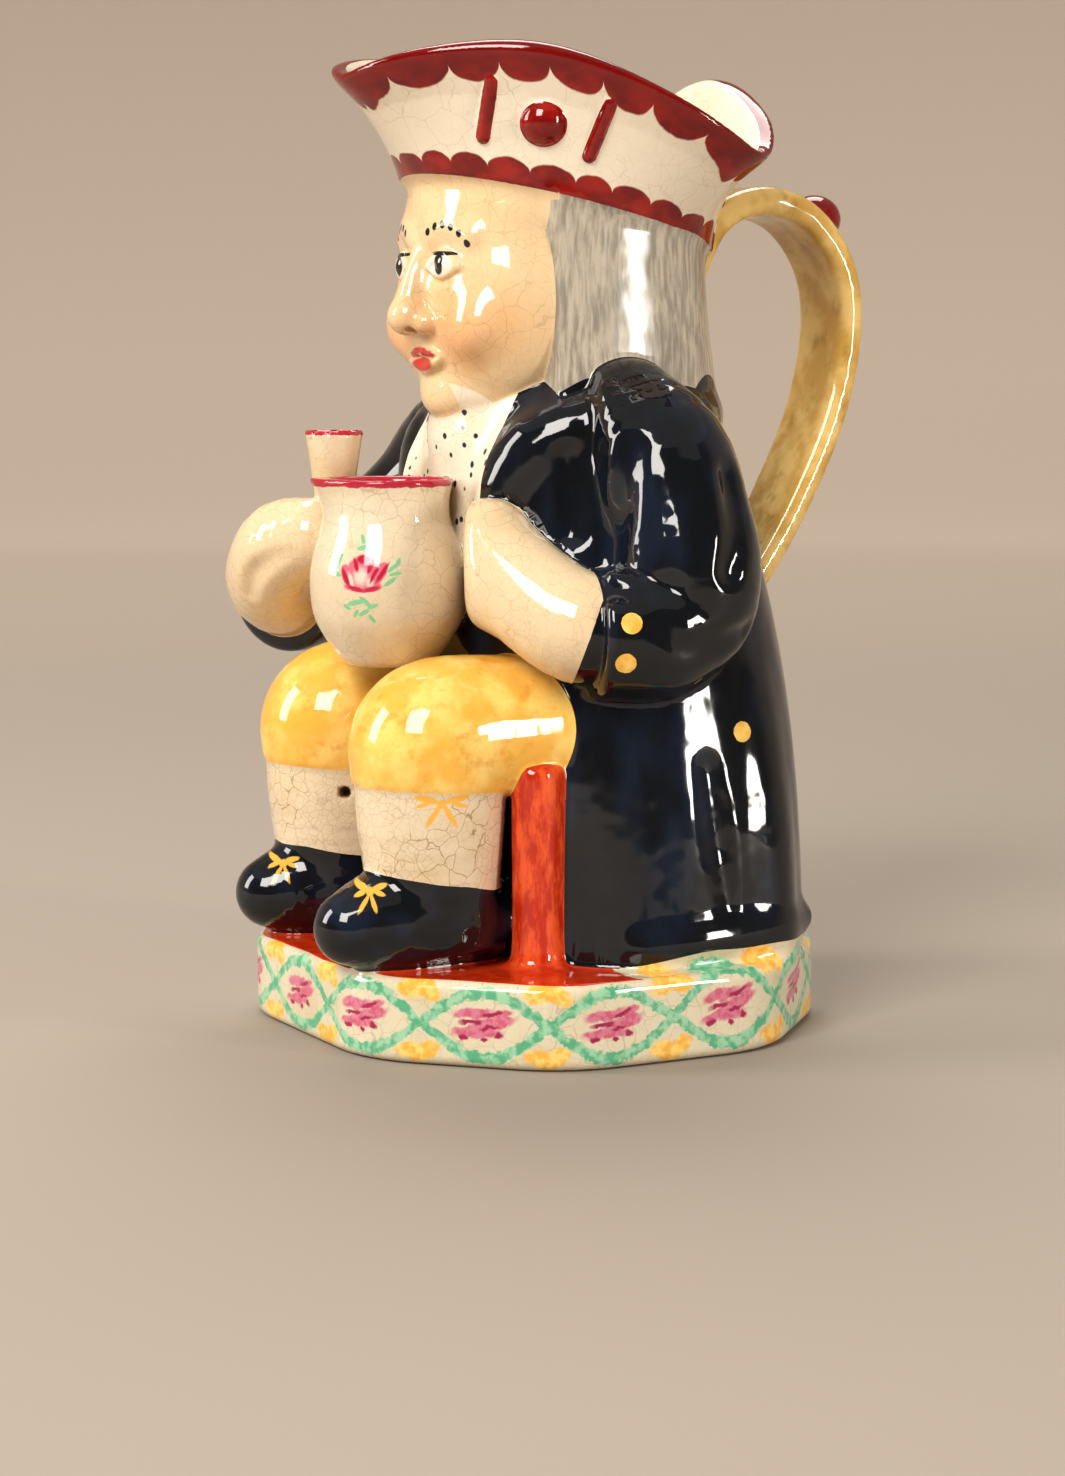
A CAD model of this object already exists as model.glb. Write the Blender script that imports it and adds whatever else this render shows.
import math

import bpy
import numpy as np
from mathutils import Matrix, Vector


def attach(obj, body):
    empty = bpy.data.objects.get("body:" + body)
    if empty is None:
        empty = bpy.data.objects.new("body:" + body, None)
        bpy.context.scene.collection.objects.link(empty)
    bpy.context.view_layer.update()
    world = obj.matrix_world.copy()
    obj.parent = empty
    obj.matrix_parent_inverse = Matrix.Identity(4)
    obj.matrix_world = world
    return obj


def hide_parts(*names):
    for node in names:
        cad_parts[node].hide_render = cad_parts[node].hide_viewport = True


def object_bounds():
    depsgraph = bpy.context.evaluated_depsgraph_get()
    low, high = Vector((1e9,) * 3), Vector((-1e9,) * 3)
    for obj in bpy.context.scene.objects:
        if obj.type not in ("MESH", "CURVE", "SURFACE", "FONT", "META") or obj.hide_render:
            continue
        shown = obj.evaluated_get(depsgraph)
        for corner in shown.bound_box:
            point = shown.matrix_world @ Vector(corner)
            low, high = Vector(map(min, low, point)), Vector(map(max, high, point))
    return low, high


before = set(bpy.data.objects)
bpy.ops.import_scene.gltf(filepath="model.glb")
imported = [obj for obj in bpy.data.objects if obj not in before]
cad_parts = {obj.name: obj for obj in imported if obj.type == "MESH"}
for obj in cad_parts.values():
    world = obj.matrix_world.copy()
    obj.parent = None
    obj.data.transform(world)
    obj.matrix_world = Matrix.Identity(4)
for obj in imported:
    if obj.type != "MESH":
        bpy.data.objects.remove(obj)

# Toby jug: one glazed earthenware piece, sculpted as a distance field in millimetres,
# meshed, and painted with crisp edges where one colour meets the next.
# The figure faces -Y, its left side is +X and the strap handle is at +Y.

cad_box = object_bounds()

MM = 0.001
LEFT, RIGHT = 1, -1
CAMERA_TURN = math.radians(62)

# Sizes shared with the solid

WALL = 5.0
BASE = dict(width=123, front=56.5, back=57, chamfer=32, height=18, edge=2.2, corner=8.5)
FLOOR_Z = 7.0

# Height, middle, half width, depth in front, depth behind and squareness of an upright form.
COAT = [
    (16, 15, 54.5, 36, 38, 2.7),
    (40, 15, 53.5, 36, 37, 2.75),
    (62, 14, 51.5, 34.5, 36.5, 2.8),
    (84, 13, 49, 33.5, 35.5, 2.6),
    (104, 11, 46, 33, 34, 2.4),
    (122, 9, 41, 30.5, 31.5, 2.3),
    (136, 8, 34, 26, 29, 2.2),
    (146, 8, 25, 20, 25, 2.0),
]
HAIR = [
    (132, 10, 33, 37, 30.5, 2.3),
    (145, 9.5, 32, 37, 29, 2.3),
    (160, 9, 31, 37, 28, 2.3),
    (175, 8.5, 30.5, 37, 28.5, 2.2),
    (188, 8, 28, 37, 27, 2.2),
]
HOLLOW = [
    (FLOOR_Z, 14, 40, 22, 28, 2.8),
    (30, 14.5, 46, 25, 31, 2.8),
    (62, 14, 45, 26, 31, 2.6),
    (90, 12, 42, 26, 29.5, 2.5),
    (112, 10, 37, 24, 28, 2.3),
    (130, 9, 28, 21, 24, 2.1),
    (146, 8, 24, 20, 22, 2.0),
    (164, 6.5, 24.5, 23, 23.5, 2.0),
    (178, 6, 25, 24, 24.5, 2.0),
    (192, 6, 25, 24, 25, 2.0),
]
HAT = dict(
    y=5.5, band_half=32, band_depth=34.5, band_z=177.2, band_tip=0.24, tip=0.207, rim_side=41.5, rim_corner=52,
    sharpness=1.5, corner_z=195.5, side_arch=11, back_arch=21, softness=0.15, flare=1.2,
)

# Limbs: x, y, z and radius along the middle of each.
SLEEVES = {
    LEFT: [
        (31, 6, 132, 13), (41, 8.5, 123, 15.2), (46.5, 10, 112, 14.8), (49, 10.5, 102, 15.4),
        (50, 9.5, 93, 14), (49.5, 2, 88.5, 13.6), (46.5, -8.5, 88.5, 13),
    ],
    RIGHT: [
        (-31, 6, 132, 13), (-42, 4, 123, 15.2), (-48, -1, 113, 14.8), (-52, -8, 104, 15.4),
        (-53, -19, 96.5, 14.4), (-50.5, -30, 93, 14), (-45, -39, 93, 13.5),
    ],
}
CUFF = dict(thick=1.0, swell=0.12)
HANDS = {
    LEFT: [
        (47.5, -3, 88.5, 11.8), (44, -11.5, 89.5, 11.8), (38, -17, 93.5, 11.3),
        (31, -21.5, 99.5, 10.8), (25.5, -24, 104, 10.4),
    ],
    RIGHT: [
        (-47, -36, 93.5, 12), (-42, -42, 95, 12), (-35, -46, 99, 11),
        (-28, -46.5, 103.5, 10.5), (-20, -44, 106, 8.5),
    ],
}
HAND_END = -14.3
HAND_EDGE = [(25, -24, 108.5, 6.5), (26.5, -22.5, 97, 8.5)]
LEG_X = {LEFT: 24, RIGHT: -22.5}
SHOE_BACK = {LEFT: 0, RIGHT: 3}
LEG_Y = -36
THIGH = [(2, 0, 67, 15.5), (1, -18, 66.5, 16.2), (0, -35, 65.5, 17.3), (0, -37, 61, 17)]
SHIN = [(0, -37, 62, 16.2), (0, -37, 50, 15.7), (0, -36.6, 38, 14.4), (0, -36, 26, 13.2)]
SHOE = [(0, -26.5, 27, 9.4), (0, -37, 29, 12), (0.5, -48, 28.2, 10.8), (1, -56, 27.4, 7.9)]
COLLAR = [
    (0, 33, 133, 6.5), (18, 29, 132.5, 7.5), (28, 16, 131.5, 8.8), (29.5, 4, 130.5, 9.6),
    (24.5, -8, 126.5, 9.6), (19, -13, 117, 9.6), (18, -14, 104, 8),
]
PLEAT = [(46.5, 31, 18, 7), (45, 29.5, 48, 7), (42, 27, 76, 5.5)]

LITTLE_JUG = dict(x=2, y=-36, bottom=79.5, rim=119.5, spout=3, turn=1.34 * math.pi, recess=12)
LITTLE_JUG_PROFILE = [
    (0, 9.2), (3, 11.8), (10, 15.9), (18, 16.9), (24, 15.9), (31, 13.4), (36, 13.2), (40, 14.2),
]
BEAKER = dict(x=-18, y=-39.5, bottom=106, top=129.2, foot=3.6, mouth=6.6, wall=1.4, recess=8)
STRAP = dict(width=20, thick=6.4, flare=5, corner=2.9)
HANDLE_PATH = [
    (32, 160), (41, 174), (53, 179.5), (66, 176.5), (75, 166),
    (77.5, 152), (74, 134), (66.5, 117), (57, 101), (44, 84),
]
THUMB_REST = dict(y=72.5, z=176, long=6, wide=6.5, tall=5.5)
SEAT = dict(half=40, front=-17, back=10, top=60)
VENT = [(-4, -44.5, 50.8, 1.35), (-15, -38, 50.8, 1.35)]
POST = dict(x=37.5, y=-19, r=5.2, top=61)
FACE = dict(y=-1.5, z=160, half=27.5, deep=26.5, tall=31, jowl=0.12, flat=0.65)

# Curves and blends


def resample(rows, count):
    """Rows of a table, evenly resampled along a smooth curve through them."""
    rows = np.asarray(rows, float)
    last = len(rows) - 1
    t = np.linspace(0, last, count)
    k = np.minimum(t.astype(int), last - 1)
    before, start, stop, after = (rows[np.clip(k + step, 0, last)] for step in (-1, 0, 1, 2))
    t = (t - k)[:, None]
    leaving, arriving = (stop - before) / 2, (after - start) / 2
    cubic = 2 * start - 2 * stop + leaving + arriving
    square = 3 * stop - 3 * start - 2 * leaving - arriving
    return ((cubic * t + square) * t + leaving) * t + start


def smooth_min(a, b, soft):
    near = np.maximum(soft - np.abs(a - b), 0) / soft
    return np.minimum(a, b) - near * near * soft / 4


def smooth_max(a, b, soft):
    return -smooth_min(-a, -b, soft)


def length(*parts):
    return np.sqrt(sum(part * part for part in parts))


# Distance fields of the simple forms; each takes points as rows of x, y and z

FAR = 14.0


def upright(rows):
    line = resample(rows, 90)
    heights = line[:, 0]

    def distance(p):
        z = np.clip(p[:, 2], heights[0], heights[-1])
        middle, half, front, back, square = (np.interp(z, heights, line[:, k]) for k in range(1, 6))
        across = np.abs(p[:, 0]) + 1e-3
        along = p[:, 1] - middle
        u = across / half
        v = np.abs(along) / np.where(along < 0, front, back)
        norm = (u**square + v**square) ** (1 / square)
        reach = length(across, along)
        end = np.maximum(heights[0] - p[:, 2], p[:, 2] - heights[-1])
        return np.maximum(reach - reach / norm, end)

    return distance


def limb(rows, count=18, swell=1.0):
    """A round limb along a smooth line. Its far end is a full round, or flatter where swell is under one."""
    line = resample(rows, count)

    def distance(p):
        best = np.full(len(p), 4 * FAR)
        for a, b in zip(line[:-1], line[1:]):
            step = b[:3] - a[:3]
            t = np.clip((p - a[:3]) @ step / (step @ step), 0, 1)
            gap = p - a[:3] - t[:, None] * step
            best = np.minimum(best, np.sqrt(np.einsum("ij,ij->i", gap, gap)) - (a[3] + t * (b[3] - a[3])))
        if swell < 1:
            tip, before = line[-1], line[-2]
            way = (tip[:3] - before[:3]) / np.linalg.norm(tip[:3] - before[:3])
            best = smooth_max(best, (p - tip[:3]) @ way - swell * tip[3], 2.0)
        return best

    return distance


def lump(middle, halves):
    middle, halves = np.asarray(middle, float), np.asarray(halves, float)

    def distance(p):
        q = (p - middle) / halves
        near = np.sqrt(np.einsum("ij,ij->i", q, q)) + 1e-6
        w = q / halves
        return near * (near - 1) / (np.sqrt(np.einsum("ij,ij->i", w, w)) + 1e-6)

    return distance


def turned(x, y, rows, soft=1.4, lip=None):
    """A form turned about an upright axis, from rows of height and radius."""
    line = resample(rows, 60)
    slope = np.gradient(line[:, 1], line[:, 0])
    lean = 1 / np.sqrt(1 + slope * slope)

    def distance(p):
        z = p[:, 2]
        radius = np.interp(z, line[:, 0], line[:, 1])
        if lip is not None:
            radius = radius + lip(np.arctan2(p[:, 1] - y, p[:, 0] - x), z)
        side = (length(p[:, 0] - x, p[:, 1] - y) - radius) * np.interp(z, line[:, 0], lean)
        return smooth_max(side, np.maximum(line[0, 0] - z, z - line[-1, 0]), soft)

    return distance


def box(low, high, round_by):
    low, high = np.asarray(low, float), np.asarray(high, float)

    def distance(p):
        q = np.abs(p - (low + high) / 2) - (high - low) / 2 + round_by
        outside = np.maximum(q, 0)
        return np.sqrt(np.einsum("ij,ij->i", outside, outside)) + np.minimum(q.max(1), 0) - round_by

    return distance


# The plinth: an eight-sided block with soft corners


def plan(p):
    """Distance outside the plinth's outline, seen from above."""
    half = BASE["width"] / 2
    side = np.abs(p[:, 0]) - half
    front, back = -BASE["front"] - p[:, 1], p[:, 1] - BASE["back"]
    reach = half - BASE["chamfer"]
    slant_front = (np.abs(p[:, 0]) - p[:, 1] - reach - BASE["front"]) / math.sqrt(2)
    slant_back = (np.abs(p[:, 0]) + p[:, 1] - reach - BASE["back"]) / math.sqrt(2)
    flat = smooth_max(side, np.maximum(front, back), BASE["corner"])
    flat = smooth_max(flat, slant_front, BASE["corner"])
    return smooth_max(flat, slant_back, BASE["corner"])


def plinth(p):
    edge = BASE["edge"]
    middle = BASE["height"] / 2
    q = np.stack([plan(p) + edge, np.abs(p[:, 2] - middle) - middle + edge], 1)
    outside = np.maximum(q, 0)
    return np.hypot(outside[:, 0], outside[:, 1]) + np.minimum(q.max(1), 0) - edge


# The hat, told by the turn about its axis and the share of the way from band to rim


RIM_ROLL = 2.1
HAT_TUCK = 6.0
# Cosine of the usual lean of the hat's side, which turns a level gap into a distance
HAT_LEAN = 0.86


def hat_band(angle):
    reach = 1 / np.hypot(np.cos(angle) / HAT["band_half"], np.sin(angle) / HAT["band_depth"])
    return reach, HAT["band_z"] - HAT["band_tip"] * (HAT["y"] + reach * np.sin(angle))


def hat_rim(angle):
    corner = ((1 + np.cos(3 * (angle + math.pi / 2))) / 2) ** HAT["sharpness"]
    reach = HAT["rim_side"] + (HAT["rim_corner"] - HAT["rim_side"]) * corner
    soft = HAT["softness"]
    swing = np.hypot(np.sin(1.5 * (angle + math.pi / 2)), soft) - soft
    back = np.clip((np.sin(angle) - 0.5) / 0.3, 0, 1)
    back = back * back * (3 - 2 * back)
    arch = HAT["side_arch"] + (HAT["back_arch"] - HAT["side_arch"]) * back
    lift = arch * swing / (math.hypot(1, soft) - soft)
    return reach, HAT["corner_z"] - HAT["tip"] * (HAT["y"] + reach * np.sin(angle)) + lift


def hat_place(p):
    """Turn, reach from the axis and share of the height, then the hat's radius, band and rim heights there."""
    angle = np.arctan2(p[:, 1] - HAT["y"], p[:, 0])
    band, band_z = hat_band(angle)
    rim, rim_z = hat_rim(angle)
    share = (p[:, 2] - band_z) / (rim_z - band_z)
    radius = band + (rim - band) * np.clip(share, 0, 1.2) ** HAT["flare"]
    radius = radius * (1 - 0.2 * np.clip((band_z - p[:, 2]) / HAT_TUCK, 0, 1))
    return angle, length(p[:, 0], p[:, 1] - HAT["y"]), share, radius, band_z, rim_z


def hat(p):
    _, reach, share, radius, band_z, rim_z = hat_place(p)
    roll = RIM_ROLL * np.clip(share * 2.5 - 1.5, 0, 1)
    ends = np.maximum(p[:, 2] - rim_z + 0.5, band_z - HAT_TUCK - p[:, 2])
    return smooth_max((reach - radius - roll) * HAT_LEAN, ends, 4.5)


def hat_hollow(p):
    _, reach, _, radius, band_z, _ = hat_place(p)
    return np.maximum((reach - radius + WALL) * HAT_LEAN, band_z + 1 - p[:, 2])


body_hollow = upright(HOLLOW)


def hollow(p):
    return smooth_min(body_hollow(p), hat_hollow(p), 5.0)


def hat_spot(angle, share, sink=0.0):
    """A point of the hat's outside."""
    band, band_z = hat_band(angle)
    rim, rim_z = hat_rim(angle)
    radius = band + (rim - band) * share ** HAT["flare"] - sink
    return (radius * math.cos(angle), HAT["y"] + radius * math.sin(angle), band_z + (rim_z - band_z) * share)


# The strap handle, in the middle plane


def strap():
    line = resample(HANDLE_PATH, 70)

    def distance(p):
        across = np.abs(p[:, 0])
        gap = np.full(len(p), 4 * FAR)
        along = np.zeros(len(p))
        for k, (a, b) in enumerate(zip(line[:-1], line[1:])):
            step = b - a
            t = np.clip((p[:, 1:] - a) @ step / (step @ step), 0, 1)
            d = length(p[:, 1] - a[0] - t * step[0], p[:, 2] - a[1] - t * step[1])
            along = np.where(d < gap, (k + t) / len(line), along)
            gap = np.minimum(gap, d)
        root = np.maximum(0, 1 - along * 4) ** 2
        corner = STRAP["corner"]
        qx = across - (STRAP["width"] / 2 + STRAP["flare"] * root) + corner
        qy = gap - STRAP["thick"] / 2 + corner
        return length(np.maximum(qx, 0), np.maximum(qy, 0)) + np.minimum(np.maximum(qx, qy), 0) - corner

    return distance


# The head: a stout egg with a calm, general face set out by the usual thirds


def face_y(x, z):
    """How far forward the bare egg of the head comes at a place on the face."""
    up = (z - FACE["z"]) / FACE["tall"]
    over = x / (FACE["half"] * (1 - FACE["jowl"] * up))
    return FACE["y"] - FACE["deep"] * max(1 - up * up - over * over, 0) ** (FACE["flat"] / 2)


def on_face(x, z, out):
    return (x, face_y(x, z) - out, z)


def egg(p):
    up = (p[:, 2] - FACE["z"]) / FACE["tall"]
    over = p[:, 0] / (FACE["half"] * (1 - FACE["jowl"] * np.clip(up, -1.3, 1.3)))
    fore = np.abs(p[:, 1] - FACE["y"]) / FACE["deep"]
    power = 2 / FACE["flat"]
    norm = np.sqrt(up * up + over * over + fore**power) + 1e-6
    reach = length(p[:, 0], p[:, 1] - FACE["y"], p[:, 2] - FACE["z"])
    return reach - reach / norm


EYE_X, EYE_Z = 9.6, 164.5
FOREHEAD = dict(middle=(0, -4.5, 177), halves=(27, 22, 13))
MOUTH_Z = 145.2
# Places along each lid, out from the middle of the eye and up from it
UPPER_LID = [(-4.6, -0.3), (0, 2.5), (4.6, -0.4)]
LOWER_LID = [(-4.4, -0.6), (0, -2.4), (4.4, -0.6)]


def face_line(places, out, radius):
    return limb([(*on_face(x, z, out), radius) for x, z in places], 14)


def face_forms():
    """Features of the face as distance fields, with how softly each joins and whether it is cut."""
    bridge = [(*on_face(0, 167, -1.2), 2.6), (*on_face(0, 160, 0.8), 3.0), (*on_face(0, 154.6, 2.2), 3.6)]
    forms = [
        (limb(bridge, 10), 3.0, False),
        (lump(on_face(0, 153.6, 2.6), (4.6, 4.2, 3.9)), 2.0, False),
        (lump(on_face(0, 136.8, -1.4), (8.5, 5, 5)), 5.0, False),
    ]
    for side in (LEFT, RIGHT):
        eye = on_face(side * EYE_X, EYE_Z, -2.0)
        brow = [(side * 4.5, 171), (side * 10, 172.6), (side * 15.5, 170.4)]
        upper, lower = (
            [(side * (EYE_X + out), EYE_Z + up) for out, up in lid] for lid in (UPPER_LID, LOWER_LID)
        )
        forms += [
            (lump(on_face(side * 4.5, 152.4, 0.4), (2.8, 3.2, 2.5)), 1.6, False),
            (face_line(brow, -1.0, 2.4), 3.0, False),
            (lump(on_face(side * (EYE_X + 0.2), EYE_Z - 0.2, 2.3), (6.2, 3.4, 3.8)), 2.5, True),
            (lump(eye, (4.6, 3.2, 3.1)), 0.5, False),
            (face_line(upper, 0.1, 0.95), 0.8, False),
            (face_line(lower, -0.2, 0.8), 0.9, False),
            (lump(on_face(side * 14.5, 152, -2.6), (7.5, 5, 6.5)), 5.0, False),
            (lump(on_face(side * 2.6, 151.2, 3.2), (1.0, 1.6, 0.8)), 0.8, True),
        ]
    lip = MOUTH_Z
    upper_lip = [(-6, lip), (-2, lip + 1.5), (0, lip + 1.0), (2, lip + 1.5), (6, lip)]
    lower_lip = [(-5, lip - 0.8), (0, lip - 2.3), (5, lip - 0.8)]
    forms += [
        (face_line(upper_lip, 0.2, 1.15), 1.2, False),
        (face_line(lower_lip, 0.3, 1.5), 1.4, False),
        (face_line([(-6.6, lip + 0.1), (0, lip - 0.5), (6.6, lip + 0.1)], 1.5, 0.45), 0.6, True),
    ]
    return forms


# All forms of the figure in the order they are joined


class Form:
    """A form of the figure: its paint, its distance field, its reach, and how it joins the rest."""

    def __init__(self, paint, distance, low, high, soft=1.2, cut=False):
        self.paint, self.distance, self.soft, self.cut = paint, distance, soft, cut
        self.low = np.asarray(low, float) - FAR / 2
        self.high = np.asarray(high, float) + FAR / 2

    def near(self, p):
        """Numbers of the points within the form's reach."""
        return np.flatnonzero(((p > self.low) & (p < self.high)).all(1))

    def joined(self, total, distance):
        """The rest's distance once this form is added to it or cut out of it."""
        if self.cut:
            return smooth_max(total, -distance, self.soft)
        return smooth_min(total, distance, self.soft)


def limb_form(paint, rows, count=18, soft=1.2, swell=1.0, cut=False):
    rows = np.asarray(rows, float)
    low = (rows[:, :3] - rows[:, 3:]).min(0)
    high = (rows[:, :3] + rows[:, 3:]).max(0)
    return Form(paint, limb(rows, count, swell), low, high, soft, cut)


def lump_form(paint, middle, halves, soft=1.2, cut=False):
    middle, halves = np.asarray(middle, float), np.asarray(halves, float)
    return Form(paint, lump(middle, halves), middle - halves, middle + halves, soft, cut)


def turned_form(paint, x, y, rows, reach, soft, round_by=1.4, lip=None, cut=False):
    low, high = (x - reach, y - reach, rows[0][0]), (x + reach, y + reach, rows[-1][0])
    return Form(paint, turned(x, y, rows, round_by, lip), low, high, soft, cut)


def across_view(p):
    """How far right a point is for someone in front of the figure's left."""
    return p[:, 0] * math.cos(CAMERA_TURN) + p[:, 1] * math.sin(CAMERA_TURN)


def beside(rows, side, back=0):
    return [(LEG_X[side] + side * x, y + back, z, r) for x, y, z, r in rows]


def mirrored(rows, side):
    return [(side * x, *rest) for x, *rest in rows]


def spout(angle, z):
    way = np.maximum(0, np.cos(angle - LITTLE_JUG["turn"])) ** 8
    tall = LITTLE_JUG["rim"] - LITTLE_JUG["bottom"]
    return LITTLE_JUG["spout"] * way * np.clip((z - LITTLE_JUG["bottom"]) / tall, 0, 1) ** 5


def base_forms():
    half = BASE["width"] / 2
    forms = [
        Form("base", plinth, (-half, -BASE["front"], 0), (half, BASE["back"], BASE["height"])),
    ]
    low = (-SEAT["half"], SEAT["front"], 14)
    high = (SEAT["half"], SEAT["back"], SEAT["top"])
    forms.append(Form("red", box(low, high, 2.0), low, high, 2.0))
    for side in (LEFT, RIGHT):
        x, y, r = side * POST["x"], POST["y"], POST["r"]
        rows = [(16, r * 1.35), (23, r), (POST["top"] - 3, r), (POST["top"], r * 0.8)]
        forms.append(turned_form("red", x, y, rows, r * 1.5, 3.0, 2.5))
    return forms


def coat_forms():
    forms = [Form("coat", upright(COAT), (-55, -22, 16), (55, 54, 146), 1.5)]
    for side in (LEFT, RIGHT):
        forms.append(limb_form("coat", mirrored(PLEAT, side), 10, 3.5))
        forms.append(limb_form("lapel", mirrored(COLLAR, side), 24, 2.0))
        forms.append(limb_form("sleeve", SLEEVES[side], 26, 2.4, CUFF["swell"]))
        cuff = [(x, y, z, r + CUFF["thick"]) for x, y, z, r in SLEEVES[side][-2:]]
        forms.append(limb_form("sleeve", cuff, 6, 0.8, CUFF["swell"]))
    return forms


# Dents along lines: x, y, z and radius. Each runs just outside the cloth, so that only its edge bites.
FOLDS = [
    [(51, -5.5, 127, 2.2), (49.5, -7.5, 117, 3.4), (45.5, -8, 107, 3.6), (46, -9.5, 101, 2.4)],
    [(50, -13.5, 99, 1.6), (58.5, -9, 98.8, 2.0), (62, -1.5, 99, 1.4)],
    [(63.2, -5.6, 95, 0.9), (66, -0.6, 86.8, 1.7), (65, 9, 87, 1.7), (61, 18, 88.5, 1.0)],
    [(35.5, -11.5, 125, 1.2), (36.8, -10.8, 118, 2.2), (37, -11, 109, 1.4)],
    [(42, -8.5, 127, 1.4), (42, -10, 119, 2.4), (40.5, -10.5, 110, 1.6)],
    [(58, 15.5, 121, 1.6), (64, 15, 111, 2.4), (65, 12, 102, 1.6)],
    [(54, 14, 60, 1.2), (55.8, 16, 45, 2.4), (56.5, 18, 30, 1.2)],
    [(53.5, 3, 74, 1.2), (55, 2.5, 52, 2.2), (56.5, 3.5, 30, 1.2)],
]
FOLD_SOFT = 4.0
HEM_ROLL = [(50.5, 0, 22.6, 2.6), (52.2, 12, 23.4, 2.9), (51, 28, 24.2, 2.9), (43, 43, 24.4, 2.4)]
KNUCKLES = [
    (-15, -52.6, 102.5, 1.0), (-20, -55, 100.6, 1.7), (-26, -56.2, 97, 2.0), (-30, -55.4, 92.5, 1.5),
]


def fold_forms():
    forms = []
    for side in (LEFT, RIGHT):
        lines = FOLDS if side == LEFT else FOLDS[-2:]
        forms += [limb_form("coat", mirrored(rows, side), 12, FOLD_SOFT, cut=True) for rows in lines]
        forms.append(limb_form("coat", mirrored(HEM_ROLL, side), 16, 4.0))
    return forms


def leg_forms():
    forms = []
    for side in (LEFT, RIGHT):
        forms.append(limb_form("stocking", beside(SHIN, side), 12, 1.5, 0.35))
        forms.append(limb_form("breeches", beside(THIGH, side), 18, 1.2, 0.35))
        forms.append(limb_form("shoe", beside(SHOE, side, SHOE_BACK[side]), 14, 2.0))
    forms.append(limb_form("stocking", VENT, 2, 0.5, cut=True))
    return forms


HAIR_FRONT = -9.0
hair_block = upright(HAIR)


def hair_mass(p):
    return smooth_max(hair_block(p), HAIR_FRONT - p[:, 1], 1.6)


def head_forms():
    forms = [
        Form("hair", hair_mass, (-34, -12, 132), (34, 41, 188), 1.2),
        Form("face", egg, (-31, -30, 128), (31, 26, 192), 1.0),
    ]
    forms.append(lump_form("face", FOREHEAD["middle"], FOREHEAD["halves"], 6.0))
    low, high = (-27, -40, 130), (27, -12, 178)
    forms += [Form("face", distance, low, high, soft, cut) for distance, soft, cut in face_forms()]
    forms.append(lump_form("cloth", (0, -12, 128), (17, 11, 15), 1.5))
    forms.append(lump_form("cloth", (0, -14, 138), (15, 10, 7), 2.0))
    return forms


def held_forms():
    mitten = limb_form("hand", HANDS[LEFT], 16, 0.9)
    whole, edge = mitten.distance, limb(HAND_EDGE, 4)
    mitten.distance = lambda p: smooth_max(smooth_min(whole(p), edge(p), 5.0), HAND_END - across_view(p), 3.0)
    x, y, rim = LITTLE_JUG["x"], LITTLE_JUG["y"], LITTLE_JUG["rim"]
    jug = [(z + LITTLE_JUG["bottom"], r) for z, r in LITTLE_JUG_PROFILE]
    jug_scoop = [(rim - LITTLE_JUG["recess"], 9), (rim - 4, 11), (rim + 2, 12.6)]
    bottom, top, foot, mouth = (BEAKER[name] for name in ("bottom", "top", "foot", "mouth"))
    inner = mouth - BEAKER["wall"]
    cup = [(bottom, foot), (bottom + 8, foot + 0.6), (top - 3, mouth - 0.7), (top, mouth)]
    cup_scoop = [(top - BEAKER["recess"], 2), (top - 2, inner - 0.4), (top + 2, inner + 0.4)]
    return [
        limb_form("hand", HANDS[RIGHT], 16, 0.9),
        limb_form("hand", KNUCKLES, 12, 2.5, cut=True),
        mitten,
        turned_form("jug", x, y, jug, 19, 0.7, 1.2, spout),
        turned_form("beaker", BEAKER["x"], BEAKER["y"], cup, 7, 0.7, 0.8),
        turned_form("jug", x, y, jug_scoop, 13, 1.0, cut=True),
        turned_form("beaker", BEAKER["x"], BEAKER["y"], cup_scoop, 6, 0.7, cut=True),
    ]


# The middle of each of the hat's three panels, a little past the middle between two corners
PANEL_SHIFT = 0.036
PANELS = tuple(turn - PANEL_SHIFT for turn in (-math.pi / 6, -5 * math.pi / 6, math.pi / 2))
BOSS = dict(share=0.46, sink=2.9, half=5.5)
BAR = dict(turn=0.32, lean=0.045, low=0.3, high=0.7, sink=0.3, r=1.5)


def hat_forms():
    forms = [Form("hat", hat, (-50, -48, 160), (50, 54, 212), 3.0)]
    for middle in PANELS:
        forms.append(lump_form("boss", hat_spot(middle, BOSS["share"], BOSS["sink"]), [BOSS["half"]] * 3, 0.6))
        for turn in (-BAR["turn"], BAR["turn"]):
            ends = ((-BAR["lean"], BAR["low"]), (BAR["lean"], BAR["high"]))
            rows = [(*hat_spot(middle + turn + lean, share, BAR["sink"]), BAR["r"]) for lean, share in ends]
            forms.append(limb_form("boss", rows, 4, 0.6))
    return forms


def handle_forms():
    low, high = (-16, 28, 80), (16, 82, 184)
    rest = THUMB_REST
    return [
        Form("handle", strap(), low, high, 2.5),
        lump_form("thumb", (0, rest["y"], rest["z"]), (rest["wide"], rest["long"], rest["tall"]), 1.2),
    ]


FORMS = [
    *base_forms(), *coat_forms(), *fold_forms(), *leg_forms(),
    *head_forms(), *held_forms(), *hat_forms(), *handle_forms(),
    Form("inside", hollow, (-48, -42, FLOOR_Z), (48, 48, 214), 2.6, True),
]


def field(p):
    """Distance from the whole figure at each point."""
    total = np.full(len(p), FAR)
    for form in FORMS:
        near = form.near(p)
        if len(near):
            total[near] = form.joined(total[near], form.distance(p[near]))
    return total


def slope_of(p, step=0.25):
    """Gradient of the figure's distance field."""
    parts = []
    for axis in range(3):
        shift = np.zeros(3)
        shift[axis] = step
        parts.append((field(p + shift) - field(p - shift)) / (2 * step))
    return np.stack(parts, 1)


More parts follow.
